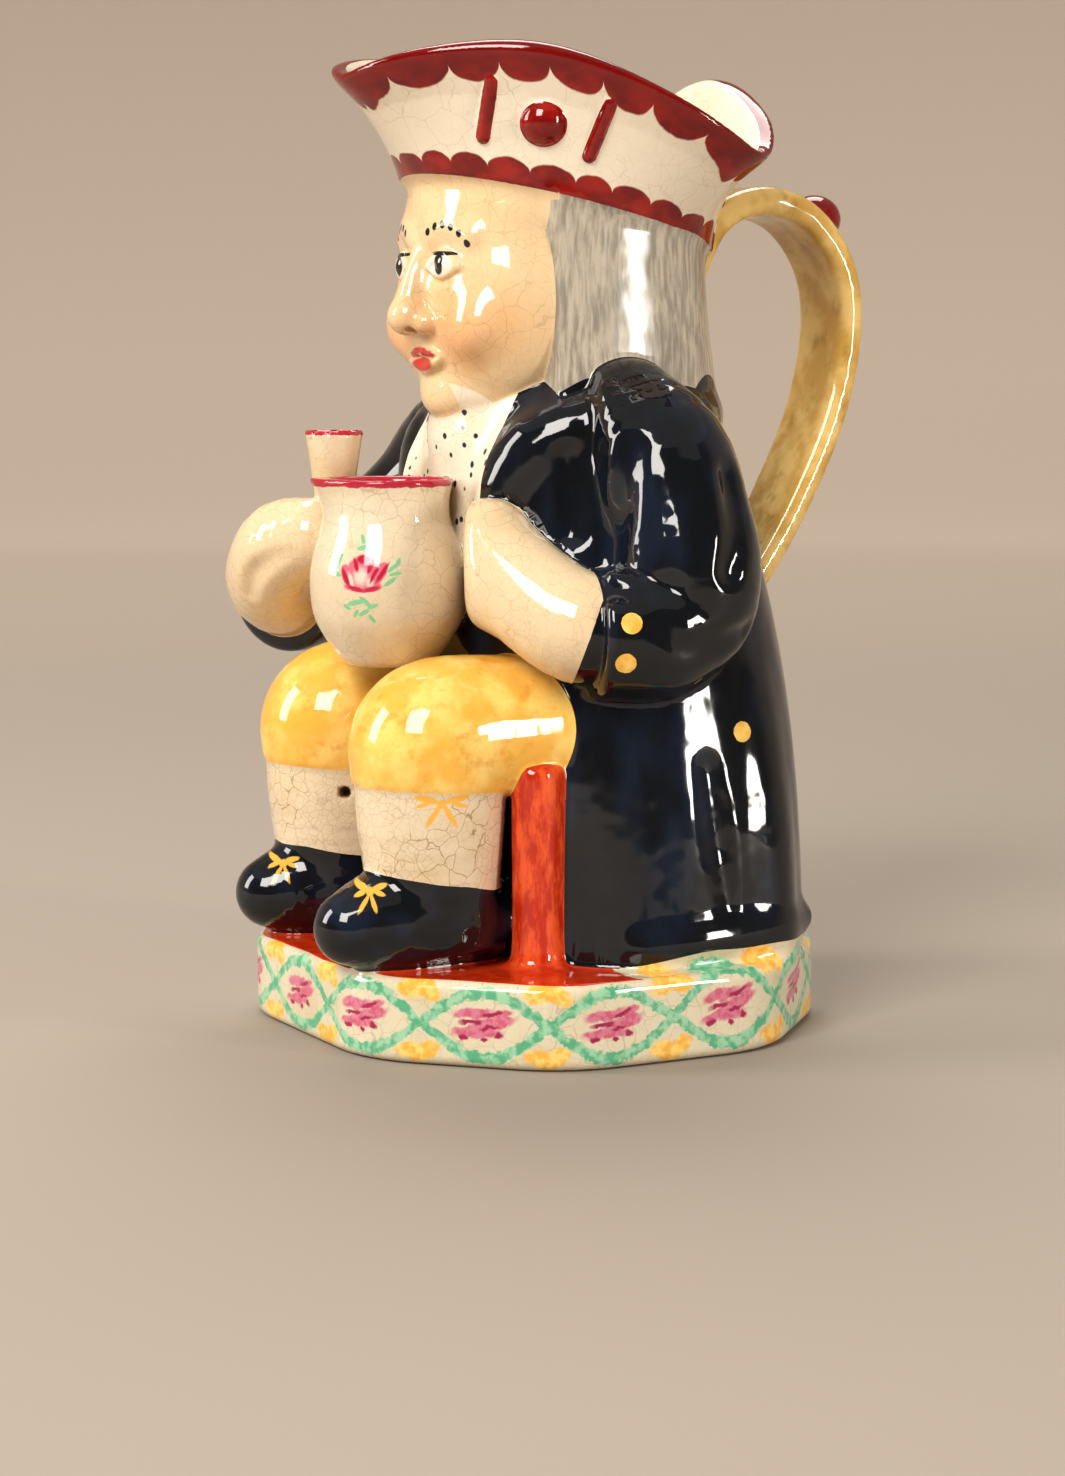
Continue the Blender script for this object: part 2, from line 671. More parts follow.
def settle(p, rounds=2):
    """Moves points onto the figure's surface."""
    for _ in range(rounds):
        slope = slope_of(p)
        size = np.maximum(np.einsum("ij,ij->i", slope, slope), 0.05)
        move = (field(p) / size)[:, None] * slope
        p = p - np.clip(move, -0.5, 0.5)
    return p


# Meshing: one point in every grid cell that the surface crosses, joined across every crossed grid edge


def grid_field(low, shape, pitch):
    total = np.full(shape, FAR, np.float32)
    axes = [low[k] + pitch * np.arange(shape[k]) for k in range(3)]
    for form in FORMS:
        cuts = tuple(slice(*np.searchsorted(axes[k], (form.low[k], form.high[k]))) for k in range(3))
        spots = np.stack(np.meshgrid(*(axes[k][cuts[k]] for k in range(3)), indexing="ij"), -1)
        d = form.distance(spots.reshape(-1, 3)).reshape(spots.shape[:3])
        total[cuts] = form.joined(total[cuts], d)
    return total


def surface_net(values, low, pitch):
    inside = values < 0
    cells = tuple(n - 1 for n in values.shape)
    sums = np.zeros(cells + (3,), np.float32)
    count = np.zeros(cells, np.int32)
    for axis in range(3):
        others = [k for k in range(3) if k != axis]
        for one in (0, 1):
            for two in (0, 1):
                start = [slice(0, n) for n in cells]
                start[others[0]] = slice(one, one + cells[others[0]])
                start[others[1]] = slice(two, two + cells[others[1]])
                stop = list(start)
                stop[axis] = slice(1, 1 + cells[axis])
                a, b = values[tuple(start)], values[tuple(stop)]
                crossed = (a < 0) != (b < 0)
                place = np.where(crossed, a / np.where(crossed, a - b, 1), 0)
                offset = [0.0, 0.0, 0.0]
                offset[others[0]], offset[others[1]] = one, two
                for k in range(3):
                    sums[..., k] += np.where(crossed, place if k == axis else offset[k], 0)
                count += crossed
    active = count > 0
    number = np.full(cells, -1, np.int64)
    number[active] = np.arange(active.sum())
    corner = np.argwhere(active)
    points = low + pitch * (corner + sums[active] / count[active][:, None])
    quads = []
    for axis in range(3):
        u, v = (axis + 1) % 3, (axis + 2) % 3
        core = [slice(1, n) for n in cells]
        core[axis] = slice(0, cells[axis])
        ahead = list(core)
        ahead[axis] = slice(1, cells[axis] + 1)
        a, b = inside[tuple(core)], inside[tuple(ahead)]
        at = np.argwhere(a != b)
        at[:, u] += 1
        at[:, v] += 1
        out = a[a != b]
        ring = []
        for du, dv in ((-1, -1), (0, -1), (0, 0), (-1, 0)):
            cell = at.copy()
            cell[:, u] += du
            cell[:, v] += dv
            ring.append(number[tuple(cell.T)])
        ring = np.stack(ring, 1)
        quads.append(np.where(out[:, None], ring, ring[:, ::-1]))
    return points, np.concatenate(quads)


def triangles_of(points, quads):
    """Cuts each four-sided face along its shorter diagonal."""
    a, b, c, d = (points[quads[:, k]] for k in range(4))
    short = np.linalg.norm(a - c, axis=1) <= np.linalg.norm(b - d, axis=1)
    one = np.where(short[:, None], quads[:, [0, 1, 2]], quads[:, [0, 1, 3]])
    two = np.where(short[:, None], quads[:, [0, 2, 3]], quads[:, [1, 2, 3]])
    return np.concatenate([one, two])


def thinned(points, triangles, target):
    """The same surface with fewer triangles where it is flat."""
    mesh = bpy.data.meshes.new("sculpt")
    mesh.from_pydata(points.tolist(), [], triangles.tolist())
    carrier = bpy.data.objects.new("sculpt", mesh)
    bpy.context.collection.objects.link(carrier)
    modifier = carrier.modifiers.new("thin", "DECIMATE")
    modifier.ratio = target / len(triangles)
    modifier.use_collapse_triangulate = True
    made = carrier.evaluated_get(bpy.context.evaluated_depsgraph_get()).to_mesh()
    spots = np.empty(3 * len(made.vertices))
    made.vertices.foreach_get("co", spots)
    made.calc_loop_triangles()
    corners = np.empty(3 * len(made.loop_triangles), np.int32)
    made.loop_triangles.foreach_get("vertices", corners)
    carrier.to_mesh_clear()
    bpy.data.objects.remove(carrier)
    bpy.data.meshes.remove(mesh)
    return spots.reshape(-1, 3), corners.reshape(-1, 3).astype(np.int64)


# Splitting triangles, to refine a place or to follow the edge of a colour

# A point this close to a colour's edge counts as on it
SNAP = 0.08


def split_edges(points, triangles, edges, spots):
    """Puts a new point on each listed edge and cuts every triangle that has one.

    Returns the points, the triangles and the number of the triangle that each was cut from.
    """
    count = len(points)
    key = np.minimum(edges[:, 0], edges[:, 1]) * count + np.maximum(edges[:, 0], edges[:, 1])
    order = np.argsort(key)
    key = key[order]
    new = count + order

    def between(a, b):
        wanted = np.minimum(a, b) * count + np.maximum(a, b)
        at = np.minimum(np.searchsorted(key, wanted), len(key) - 1)
        return np.where(key[at] == wanted, new[at], -1)

    mids = np.stack([between(triangles[:, k], triangles[:, (k + 1) % 3]) for k in range(3)], 1)
    cut = mids >= 0
    number = cut.sum(1)
    made, parents = [triangles[number == 0]], [np.flatnonzero(number == 0)]

    def turn(rows, first):
        pick = (first[:, None] + np.arange(3)) % 3
        return np.take_along_axis(triangles[rows], pick, 1), np.take_along_axis(mids[rows], pick, 1)

    def add(rows, *threes):
        for three in threes:
            made.append(np.stack(three, 1))
            parents.append(rows)

    rows = np.flatnonzero(number == 1)
    (a, b, c), (m, _, _) = (x.T for x in turn(rows, cut[rows].argmax(1)))
    add(rows, (a, m, c), (m, b, c))
    rows = np.flatnonzero(number == 2)
    (a, b, c), (m, n, _) = (x.T for x in turn(rows, ((~cut[rows]).argmax(1) + 1) % 3))
    add(rows, (m, b, n), (a, m, n), (a, n, c))
    rows = np.flatnonzero(number == 3)
    (a, b, c), (m, n, o) = triangles[rows].T, mids[rows].T
    add(rows, (a, m, o), (m, b, n), (o, n, c), (m, n, o))
    return np.concatenate([points, spots]), np.concatenate(made), np.concatenate(parents)


def edges_of(triangles):
    pairs = np.sort(triangles[:, [[0, 1], [1, 2], [2, 0]]].reshape(-1, 2), 1)
    count = triangles.max() + 1
    keys = np.unique(pairs[:, 0] * count + pairs[:, 1])
    return np.stack([keys // count, keys % count], 1)


def refined(points, triangles, wanted, longest):
    """Halves every edge over the given length between two wanted points, and settles the new points."""
    edges = edges_of(triangles)
    edges = edges[wanted[edges].all(1)]
    edges = edges[np.linalg.norm(points[edges[:, 0]] - points[edges[:, 1]], axis=1) > longest]
    spots = settle(points[edges].mean(1), 2)
    points, triangles, _ = split_edges(points, triangles, edges, spots)
    return points, triangles


def cut_along(points, triangles, labels, values, chosen):
    """Cuts the chosen triangles where the values cross zero, so that a colour's edge runs along mesh edges."""
    sign = np.where(np.abs(values) < SNAP, 0, np.sign(values))
    edges = edges_of(triangles[chosen])
    edges = edges[sign[edges[:, 0]] * sign[edges[:, 1]] < 0]
    if len(edges) == 0:
        return points, triangles, labels
    a, b = values[edges[:, 0]], values[edges[:, 1]]
    t = (a / (a - b))[:, None]
    spots = points[edges[:, 0]] * (1 - t) + points[edges[:, 1]] * t
    points, triangles, parents = split_edges(points, triangles, edges, spots)
    return points, triangles, labels[parents]


# Colours of the piece, decided place by place on the finished surface

PAINTS = [
    "base", "red", "coat", "stocking", "breeches", "shoe", "hair", "face", "cloth",
    "hand", "jug", "beaker", "hat", "boss", "handle", "thumb", "button", "inside",
]
SAME_PAINT = {"sleeve": "coat", "lapel": "coat"}
LIP = 1.3
SHOE_TOP, SHOE_DROP = 36.2, 0.17
HEM_LOW, HEM_HIGH = 18.2, 21.4
HEM_FRONT, HEM_BACK = -9.0, 14.0
GROUND_LOW, GROUND_BACK, GROUND_INSET = 15.0, -7.0, 1.5
SHIRT = dict(half=19, front=-11, low=101)
CUFF_LINE = dict(across=15.1, top=98.2, slant=0.349, from_x=20)
COLLAR_EDGE = dict(middle=8, low=137.5, lobe=3.6, lobes=6.5, start=0.4)
UNDER_HAT = 0.4
BUTTON_SIZE = 2.2
BUTTONS = settle(np.array([
    (62, -10.4, 92.5), (61.4, -11.5, 82), (52, 23.3, 67), (-58.5, -40.5, 99), (-56, -43, 88.5), (-52, 23.3, 67),
]), 6)


def paint_number(name):
    return PAINTS.index(SAME_PAINT.get(name, name))


def paint_distances(p):
    """Distance of each point from every paint's own forms."""
    table = np.full((len(p), len(PAINTS)), 4 * FAR)
    for form in FORMS:
        if form.cut:
            continue
        near = form.near(p)
        column = paint_number(form.paint)
        table[near, column] = np.minimum(table[near, column], form.distance(p[near]))
    return table


def parted(points, triangles):
    """Cuts the surface where one paint's forms meet another's, and tells each triangle's paint."""
    table = paint_distances(points)
    winner = table.argmin(1)
    edges = edges_of(triangles)
    edges = edges[winner[edges[:, 0]] != winner[edges[:, 1]]]
    a, b = edges.T
    at_a = table[a, winner[a]] - table[a, winner[b]]
    at_b = table[b, winner[a]] - table[b, winner[b]]
    t = (at_a / (at_a - at_b))[:, None]
    spots = settle(points[a] * (1 - t) + points[b] * t, 1)
    points, triangles, _ = split_edges(points, triangles, edges, spots)
    labels = paint_distances(points[triangles].mean(1)).argmin(1)
    return points, triangles, labels


def wobble(p, size):
    """A hand's unsteadiness, between about -1 and 1."""
    x, y, z = (p / size).T
    return (np.sin(x + 1.7 * y) + np.sin(1.9 * y - 0.7 * x + 2 * z + 1) + np.sin(2.3 * x + 1.3 * z + 4)) / 3


def rise(value, low, high):
    t = np.clip((value - low) / (high - low), 0, 1)
    return t * t * (3 - 2 * t)


def below_hem(p):
    return p[:, 2] - HEM_LOW - (HEM_HIGH - HEM_LOW) * rise(p[:, 1], HEM_FRONT, HEM_BACK) - 0.35 * wobble(p, 5.0)


def on_ground(p):
    inset = plan(p) + GROUND_INSET + 0.5 * wobble(p, 6.0)
    return np.maximum(np.maximum(GROUND_LOW - p[:, 2], inset), p[:, 1] - GROUND_BACK - 0.6 * wobble(p, 4.0))


def below_shoe_top(p):
    return p[:, 2] - SHOE_TOP + SHOE_DROP * (p[:, 1] - LEG_Y) - 0.3 * wobble(p, 4.0)


def shirt_front(p):
    beside_or_behind = np.maximum(np.abs(p[:, 0]) - SHIRT["half"], p[:, 1] - SHIRT["front"])
    return np.maximum(beside_or_behind, SHIRT["low"] - p[:, 2])


def under_hat(p):
    angle = np.arctan2(p[:, 1] - HAT["y"], p[:, 0])
    return p[:, 2] - hat_band(angle)[1] + UNDER_HAT


def under_hat_front(p):
    return np.maximum(under_hat(p), p[:, 1] - HAIR_FRONT)


def cuff_slant(p):
    line = CUFF_LINE["across"] - CUFF_LINE["slant"] * np.maximum(CUFF_LINE["top"] - p[:, 2], 0)
    return np.maximum(line - across_view(p), CUFF_LINE["from_x"] - p[:, 0])


def on_button(p):
    gaps = np.linalg.norm(p[:, None] - BUTTONS[None], axis=2)
    return gaps.min(1) - BUTTON_SIZE


def collar_paint(p):
    angle = np.arctan2(p[:, 1] - COLLAR_EDGE["middle"], p[:, 0])
    lobe = np.abs(np.sin(COLLAR_EDGE["lobes"] * angle + COLLAR_EDGE["start"]))
    return p[:, 2] - COLLAR_EDGE["low"] - COLLAR_EDGE["lobe"] * lobe - 0.5 * wobble(p, 5.0)


PAINT_RULES = [
    (("coat",), "base", below_hem),
    (("base",), "red", on_ground),
    (("stocking",), "shoe", below_shoe_top),
    (("coat",), "cloth", shirt_front),
    (("hair",), "coat", collar_paint),
    (("hat",), "face", under_hat_front),
    (("hat",), "hair", under_hat),
    (("hand",), "coat", cuff_slant),
    (("coat",), "button", on_button),
    (tuple(PAINTS[:-1]), "inside", lambda p: hollow(p) - LIP),
]


def painted(points, triangles):
    points, triangles, labels = parted(points, triangles)
    for sources, target, rule in PAINT_RULES:
        numbers = [PAINTS.index(name) for name in sources]
        chosen = np.isin(labels, numbers)
        points, triangles, labels = cut_along(points, triangles, labels, rule(points), chosen)
        centres = points[triangles].mean(1)
        labels[np.isin(labels, numbers) & (rule(centres) < 0)] = PAINTS.index(target)
    return points, triangles, labels


# Places that the painting is laid out by: below the rim and above the band of the hat, and round the plinth

TRELLIS_REPEATS = 14
OUTLINE_TURNS, OUTLINE_STEPS = 721, 141
OUTLINE_REACH = (40, 75)


def hat_marks(p):
    angle, _, share, _, _, _ = hat_place(p)
    band, band_z = hat_band(angle)
    rim, rim_z = hat_rim(angle)
    slant = np.hypot(rim - band, rim_z - band_z)
    return np.clip((1 - share) * slant, -9, 60), np.clip(share * slant, -9, 60)


def round_plinth(points, triangles):
    """How many repeats round the plinth each corner of each triangle is, without a jump inside any triangle."""
    turns = np.linspace(-math.pi, math.pi, OUTLINE_TURNS)
    reach = np.linspace(*OUTLINE_REACH, OUTLINE_STEPS)
    grid = np.stack([np.outer(np.cos(turns), reach), np.outer(np.sin(turns), reach)], -1)
    flat = plan(grid.reshape(-1, 2)).reshape(OUTLINE_TURNS, OUTLINE_STEPS)
    edge = reach[np.argmin(np.abs(flat), 1)]
    outline = np.stack([edge * np.cos(turns), edge * np.sin(turns)], 1)
    steps = np.concatenate([[0], np.cumsum(np.linalg.norm(np.diff(outline, axis=0), axis=1))])
    repeats = np.interp(np.arctan2(points[:, 1], points[:, 0]), turns, steps / steps[-1] * TRELLIS_REPEATS)
    corners = repeats[triangles]
    jump = corners - corners[:, :1]
    return corners - TRELLIS_REPEATS * np.round(jump / TRELLIS_REPEATS)


# Glazes


class Glaze:
    """A glazed material put together from simple node steps, with places told in millimetres."""

    def __init__(self, name, roughness=0.07):
        self.material = bpy.data.materials.new(name)
        self.material.use_nodes = True
        self.tree = self.material.node_tree
        self.tree.nodes.clear()
        self.shader = self.node("ShaderNodeBsdfPrincipled")
        self.shader.inputs["Roughness"].default_value = roughness
        self.shader.inputs["IOR"].default_value = 1.52
        output = self.node("ShaderNodeOutputMaterial")
        self.tree.links.new(self.shader.outputs[0], output.inputs["Surface"])
        object_place = self.node("ShaderNodeTexCoord").outputs["Object"]
        self.place = self.vector("SCALE", object_place, scale=1 / MM)
        self.x, self.y, self.z = self.apart(self.place)

    def node(self, kind, **settings):
        made = self.tree.nodes.new(kind)
        for name, value in settings.items():
            setattr(made, name, value)
        return made

    def feed(self, socket, value):
        if isinstance(value, bpy.types.NodeSocket):
            self.tree.links.new(value, socket)
        elif value is not None:
            socket.default_value = value

    def apart(self, place):
        node = self.node("ShaderNodeSeparateXYZ")
        self.feed(node.inputs[0], place)
        return node.outputs

    def together(self, x, y, z=0.0):
        node = self.node("ShaderNodeCombineXYZ")
        for socket, value in zip(node.inputs, (x, y, z)):
            self.feed(socket, value)
        return node.outputs[0]

    def math(self, operation, a, b=None, c=None):
        node = self.node("ShaderNodeMath", operation=operation)
        for socket, value in zip(node.inputs, (a, b, c)):
            self.feed(socket, value)
        return node.outputs[0]

    def vector(self, operation, a, b=None, scale=None):
        node = self.node("ShaderNodeVectorMath", operation=operation)
        self.feed(node.inputs[0], a)
        self.feed(node.inputs[1], b)
        if operation == "SCALE":
            self.feed(node.inputs["Scale"], scale)
        return node.outputs["Value" if operation in ("LENGTH", "DOT_PRODUCT") else "Vector"]

    def span(self, value, low, high, start=0.0, stop=1.0):
        """Eases from start to stop as the value goes from low to high."""
        node = self.node("ShaderNodeMapRange", interpolation_type="SMOOTHSTEP")
        for socket, number in zip(node.inputs, (value, low, high, start, stop)):
            self.feed(socket, number)
        return node.outputs[0]

    def noise(self, size, stretch=(1, 1, 1), detail=2.0, place=None, colour=False, rough=0.5):
        """Soft noise whose lumps are about the given size, stretched along each axis."""
        scaled = self.vector("MULTIPLY", place or self.place, tuple(1 / (size * s) for s in stretch))
        node = self.node("ShaderNodeTexNoise")
        self.feed(node.inputs["Vector"], scaled)
        self.feed(node.inputs["Scale"], 1.0)
        self.feed(node.inputs["Detail"], detail)
        self.feed(node.inputs["Roughness"], rough)
        return node.outputs["Color" if colour else "Fac"]

    def shaken(self, place, size, amount):
        """The same place moved about by noise."""
        shift = self.vector("SUBTRACT", self.noise(size, place=place, colour=True), (0.5, 0.5, 0.5))
        return self.vector("ADD", place, self.vector("SCALE", shift, scale=2 * amount))

    def mix(self, share, a, b):
        node = self.node("ShaderNodeMix", data_type="RGBA")
        self.feed(node.inputs[0], share)
        self.feed(node.inputs[6], colour4(a))
        self.feed(node.inputs[7], colour4(b))
        return node.outputs[2]

    def across_view(self):
        return self.vector("DOT_PRODUCT", self.place, (math.cos(CAMERA_TURN), math.sin(CAMERA_TURN), 0))

    def attribute(self, name):
        return self.node("ShaderNodeAttribute", attribute_name=name).outputs["Fac"]

    def daubs(self, flat, ellipses, soft=0.15):
        """One where any ellipse covers the flat place. Each has its middle, half length, half width and turn."""
        nearest = None
        for across, up, long, wide, turn in ellipses:
            node = self.node("ShaderNodeMapping", vector_type="TEXTURE")
            self.feed(node.inputs["Vector"], flat)
            self.feed(node.inputs["Location"], (across, up, 0))
            self.feed(node.inputs["Rotation"], (0, 0, math.radians(turn)))
            self.feed(node.inputs["Scale"], (long, wide, 1))
            reach = self.vector("LENGTH", node.outputs[0])
            nearest = reach if nearest is None else self.math("MINIMUM", nearest, reach)
        return self.span(nearest, 1 - soft, 1 + soft, 1.0, 0.0)

    def crazed(self, colour, size, amount):
        """The colour with a net of fine brown hairlines in the glaze, stronger in some places than others."""
        for step, share in ((size, 1.0), (size * 0.45, 0.45)):
            shaken = self.shaken(self.place, step * 0.9, step * 0.28)
            node = self.node("ShaderNodeTexVoronoi", feature="DISTANCE_TO_EDGE")
            self.feed(node.inputs["Vector"], self.vector("SCALE", shaken, scale=1 / step))
            self.feed(node.inputs["Scale"], 1.0)
            line = self.span(node.outputs["Distance"], 0.0, 0.12 / step, 1.0, 0.0)
            patch = self.span(self.noise(step * 4), 0.36, 0.6, 0.3, 1.0)
            mask = self.math("MULTIPLY", line, self.math("MULTIPLY", patch, amount * share))
            colour = self.mix(mask, colour, CRAZE_BROWN)
        return colour

    def tinted(self, a, b, size=22.0, low=0.35, high=0.68, stretch=(1, 1, 1), detail=3.0):
        """Drifts from one colour to another in soft patches."""
        return self.mix(self.span(self.noise(size, stretch, detail), low, high), a, b)

    def finished(self, colour, ripple=0.02, size=9.0):
        """Sets the colour and the faint ripple of a thick hand-laid glaze."""
        self.feed(self.shader.inputs["Base Color"], colour4(colour))
        if ripple:
            bump = self.node("ShaderNodeBump")
            self.feed(bump.inputs["Height"], self.noise(size, detail=1.0))
            self.feed(bump.inputs["Distance"], MM)
            self.feed(bump.inputs["Strength"], ripple * size)
            self.tree.links.new(bump.outputs[0], self.shader.inputs["Normal"])
        return self.material


def colour4(colour):
    """A colour with the fourth number that a socket wants."""
    if isinstance(colour, tuple) and len(colour) == 3:
        return (*colour, 1.0)
    return colour


IVORY, IVORY_WARM = (0.83, 0.72, 0.56), (0.74, 0.59, 0.40)
CREAM, CREAM_WARM = (0.74, 0.60, 0.40), (0.66, 0.48, 0.27)
GREY_CREAM = (0.66, 0.53, 0.36)
SKIN, SKIN_WARM, BLUSH = (0.76, 0.55, 0.31), (0.70, 0.46, 0.22), (0.84, 0.34, 0.12)
BLACK, NAVY = (0.004, 0.005, 0.007), (0.008, 0.013, 0.026)
DEEP_RED, LIVE_RED = (0.15, 0.002, 0.002), (0.30, 0.008, 0.004)
ORANGE_RED, RUST = (0.80, 0.095, 0.018), (0.48, 0.020, 0.004)
YELLOW, YELLOW_LIGHT, YELLOW_DEEP = (0.84, 0.43, 0.06), (0.93, 0.62, 0.16), (0.70, 0.28, 0.02)
GREEN, GREEN_PALE = (0.09, 0.40, 0.21), (0.33, 0.60, 0.38)
CRIMSON, PINK = (0.34, 0.010, 0.07), (0.62, 0.19, 0.27)
OCHRE, OCHRE_LIGHT, OCHRE_DARK = (0.64, 0.37, 0.08), (0.84, 0.57, 0.19), (0.36, 0.18, 0.03)
GREY, GREY_PALE = (0.26, 0.23, 0.185), (0.52, 0.45, 0.35)
CRAZE_BROWN, INK, BARE_CLAY = (0.33, 0.18, 0.07), (0.012, 0.014, 0.045), (0.60, 0.50, 0.36)
BOSS_RED, BOSS_DARK, THUMB_RED = (0.30, 0.006, 0.003), (0.16, 0.002, 0.002), (0.20, 0.004, 0.003)
LIP_RED, EYE_WHITE, EYE_GLINT = (0.50, 0.045, 0.025), (0.80, 0.72, 0.60), (0.85, 0.80, 0.72)
HAND_CREAM, STOCKING_CREAM, JUG_PALE = (0.76, 0.58, 0.36), (0.74, 0.60, 0.41), (0.76, 0.64, 0.46)
GROUND_RED, GROUND_ORANGE = (0.50, 0.022, 0.003), (0.68, 0.045, 0.008)
PLINTH_PALE, PLINTH_WARM, PLINTH_ROSE = (0.70, 0.62, 0.44), (0.62, 0.52, 0.32), (0.58, 0.10, 0.17)
LEAF, PETAL = (0.20, 0.50, 0.26), (0.66, 0.14, 0.19)
PETAL_LIGHT, PETAL_DARK, LINE_CRIMSON = (0.82, 0.60, 0.50), (0.46, 0.014, 0.05), (0.42, 0.014, 0.035)

TWO_PI = 2 * math.pi
LOBES = 24
RIM_TRIM, RIM_LOBE, RIM_TIP = 5.4, 4.0, 3.2
BAND_TRIM, BAND_LOBE = 2.6, 2.6


def lobes(glaze, turns):
    """A row of half rounds, from nothing at each cusp to one at the middle of each lobe."""
    within = glaze.math("FRACT", turns)
    off = glaze.math("MULTIPLY_ADD", within, 2.0, -1.0)
    left = glaze.math("SUBTRACT", 1.0, glaze.math("MULTIPLY", off, off))
    return glaze.math("SQRT", glaze.math("MAXIMUM", left, 0.0))


def hat_glaze():
    g = Glaze("hat")
    ground = g.crazed(g.tinted(IVORY, IVORY_WARM, 30, 0.5, 0.85), 6.5, 0.35)
    angle = g.math("ARCTAN2", g.math("SUBTRACT", g.y, HAT["y"]), g.x)
    unsteady = g.math("MULTIPLY_ADD", g.noise(16.0), 0.5, -0.25)
    turns = g.math("MULTIPLY_ADD", angle, LOBES / TWO_PI, LOBES / 4 + LOBES)
    row = lobes(g, g.math("ADD", turns, unsteady))
    in_panel = g.math("FRACT", g.math("DIVIDE", turns, LOBES / 3))
    corner = g.math("ABSOLUTE", g.math("MULTIPLY_ADD", in_panel, 2.0, -1.0))
    tip = g.span(corner, 0.86, 1.0, 0.0, RIM_TIP)
    hair_line = g.math("MULTIPLY_ADD", g.noise(2.5), 0.7, -0.35)
    rim_edge = g.math("ADD", g.math("MULTIPLY_ADD", row, RIM_LOBE, RIM_TRIM), g.math("ADD", tip, hair_line))
    below = g.attribute("below_rim")
    at_rim = g.span(g.math("SUBTRACT", below, rim_edge), -0.25, 0.25, 1.0, 0.0)
    band_row = lobes(g, g.math("ADD", g.math("ADD", turns, 0.4), unsteady))
    band_edge = g.math("ADD", g.math("MULTIPLY_ADD", band_row, BAND_LOBE, BAND_TRIM), hair_line)
    above = g.attribute("above_band")
    at_band = g.span(g.math("SUBTRACT", above, band_edge), -0.25, 0.25, 1.0, 0.0)
    trim = g.math("MAXIMUM", at_rim, at_band)
    patches = g.span(g.noise(7.0, (1, 1, 0.6), 3.0), 0.35, 0.7)
    brushed = g.math("MULTIPLY", patches, g.span(below, 1.0, 8.0, 0.1, 1.0))
    red = g.mix(brushed, DEEP_RED, LIVE_RED)
    return g.finished(g.mix(trim, ground, red), 0.012)


def boss_glaze():
    g = Glaze("boss")
    return g.finished(g.tinted(BOSS_RED, BOSS_DARK, 5, 0.4, 0.65), 0.01)


BROW = [(-16.4, 168.8), (-14.6, 170.9), (-12.4, 172.3), (-10, 172.9), (-7.6, 172.6), (-5.4, 171.5)]


def face_glaze():
    g = Glaze("face")
    flat = g.together(g.x, g.z)
    skin = g.tinted(SKIN, SKIN_WARM, 20, 0.45, 0.8)
    cheeks = g.daubs(flat, [(side * 14.5, 152, 9.5, 8, 0) for side in (LEFT, RIGHT)], 0.75)
    skin = g.mix(g.math("MULTIPLY", cheeks, 0.55), skin, BLUSH)
    skin = g.crazed(skin, 5.0, 0.4)
    lips = [(0, MOUTH_Z - 1.6, 4.6, 1.5, 0)]
    lips += [(-side * 2.6, MOUTH_Z + 0.9, 3.2, 1.0, side * 12) for side in (LEFT, RIGHT)]
    skin = g.mix(g.daubs(g.shaken(flat, 3, 0.25), lips, 0.2), skin, LIP_RED)
    dots = [(side * x, z, 0.75, 0.85, 0) for x, z in BROW for side in (LEFT, RIGHT)]
    lids = [(side * (EYE_X + 0.1), EYE_Z + 2.4, 4.2, 0.5, side * -3) for side in (LEFT, RIGHT)]
    pupils = [(side * EYE_X, EYE_Z + 0.1, 1.75, 2.2, 0) for side in (LEFT, RIGHT)]
    whites = [(side * EYE_X, EYE_Z, 4.2, 2.3, 0) for side in (LEFT, RIGHT)]
    glints = [(side * EYE_X + 0.5, EYE_Z + 0.9, 0.42, 0.5, 0) for side in (LEFT, RIGHT)]
    skin = g.mix(g.daubs(flat, whites, 0.12), skin, EYE_WHITE)
    skin = g.mix(g.daubs(g.shaken(flat, 2, 0.12), dots + lids + pupils, 0.14), skin, BLACK)
    skin = g.mix(g.daubs(flat, glints, 0.3), skin, EYE_GLINT)
    return g.finished(skin, 0.012)


def hair_glaze():
    g = Glaze("hair", 0.16)
    streaks = g.noise(1.0, (1, 1, 9), 4.0, g.shaken(g.place, 14, 1.5))
    patches = g.noise(10, (1, 1, 1.6), 3.0)
    share = g.math("ADD", g.math("MULTIPLY", streaks, 0.7), g.math("MULTIPLY", patches, 0.3))
    hair = g.mix(g.span(share, 0.34, 0.64), GREY, GREY_PALE)
    return g.finished(g.crazed(hair, 6, 0.2), 0.04, 7.0)


def cloth_glaze():
    g = Glaze("cloth")
    ground = g.crazed(g.tinted(IVORY, IVORY_WARM, 18, 0.5, 0.8), 5, 0.35)
    node = g.node("ShaderNodeTexVoronoi", feature="F1")
    g.feed(node.inputs["Vector"], g.vector("SCALE", g.place, scale=1 / 3.6))
    g.feed(node.inputs["Scale"], 1.0)
    size = g.math("MULTIPLY_ADD", g.noise(3.0), 0.34, 0.02)
    dots = g.span(g.math("SUBTRACT", node.outputs["Distance"], size), -0.03, 0.05, 1.0, 0.0)
    return g.finished(g.mix(dots, ground, INK), 0.015)


def coat_glaze():
    g = Glaze("coat", 0.06)
    return g.finished(g.tinted(BLACK, NAVY, 12, 0.42, 0.7, (1, 1, 2.5)), 0.03, 8.0)


